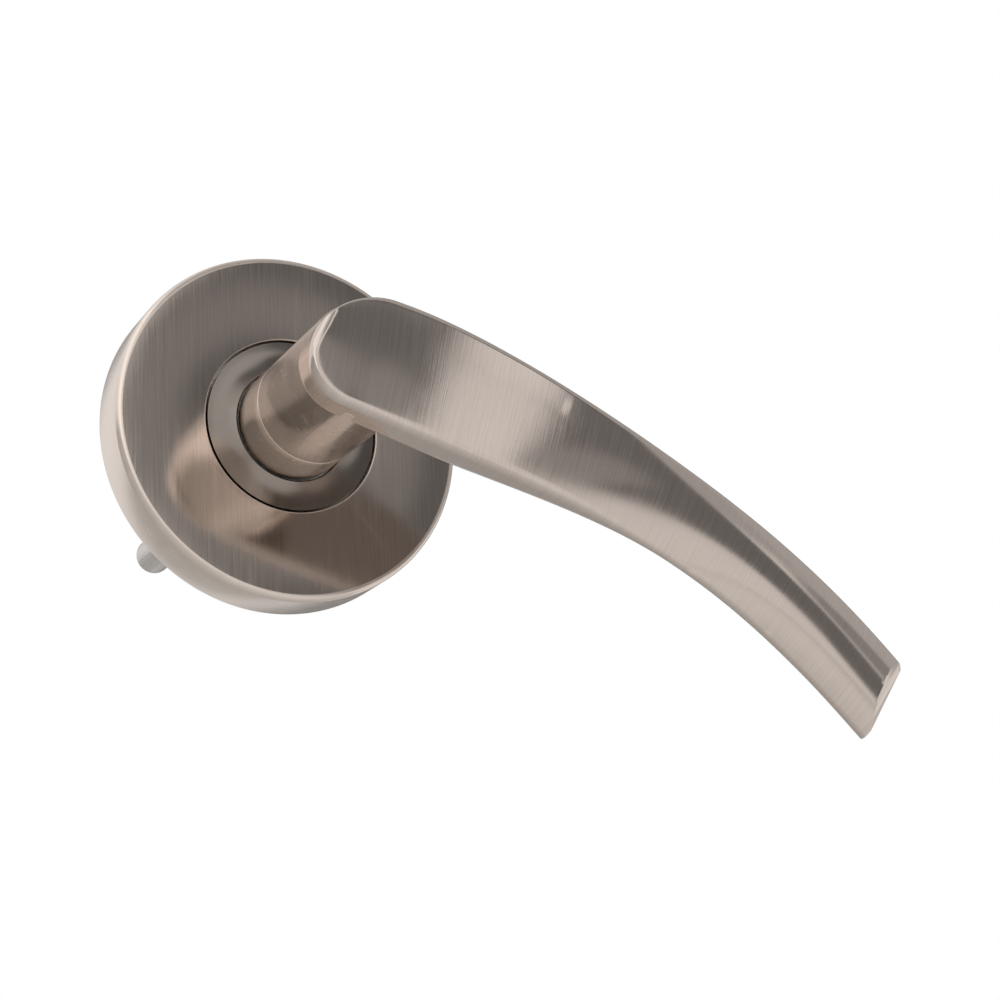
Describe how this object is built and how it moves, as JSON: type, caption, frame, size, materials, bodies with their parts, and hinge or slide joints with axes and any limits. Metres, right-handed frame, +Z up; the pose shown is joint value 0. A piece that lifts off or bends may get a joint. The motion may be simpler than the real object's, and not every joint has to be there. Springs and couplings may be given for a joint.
{
  "type": "door lever handle",
  "caption": "Door lever handle on a round rose, with a twisted arched lever, sprung cassette, square spindle and two threaded fixing posts.",
  "frame": {"origin": "centre of the rose on the door face, on the axis that the lever turns about", "axes": "+Y into the door along the spindle, -Y out of the door, +X along the lever arm at rest, +Z up"},
  "size_m": [0.1488, 0.0986, 0.066],
  "materials": {
    "satin_nickel": "satin brushed nickel plate",
    "polished_nickel": "fine satin nickel plate, smoother than the rose",
    "zinc_casting": "as-cast zinc",
    "plated_steel": "zinc-plated steel",
    "spring_steel": "oiled spring steel",
    "black_steel": "black oxide",
    "white_nylon": "moulded nylon"
  },
  "bodies": {
    "rose": {"rose_cover": "satin_nickel", "collar_ring": "polished_nickel", "mounting_plate": "zinc_casting", "cassette_lid": "plated_steel", "snap_ring": "spring_steel", "nylon_bush": "white_nylon", "lid_screw_1": "plated_steel", "lid_screw_2": "plated_steel", "lid_screw_3": "plated_steel", "return_spring_1": "spring_steel", "return_spring_2": "spring_steel", "stop_pin_1": "spring_steel", "stop_pin_2": "spring_steel", "fixing_post_1": "plated_steel", "fixing_post_2": "plated_steel"},
    "lever": {"lever_arm": "satin_nickel", "neck_sleeve": "polished_nickel", "spindle": "plated_steel", "set_screw": "black_steel", "drive_cam": "plated_steel", "circlip": "black_steel", "thrust_washer": "plated_steel"}
  },
  "joints": [
    {"name": "lever_turn", "type": "hinge", "parent": "rose", "child": "lever", "pos_m": [0, 0, 0], "axis": [0, 1, 0], "range_deg": [-45, 45], "stiffness_Nm_per_rad": 0.9, "deforming": ["return_spring_1", "return_spring_2"]}
  ]
}
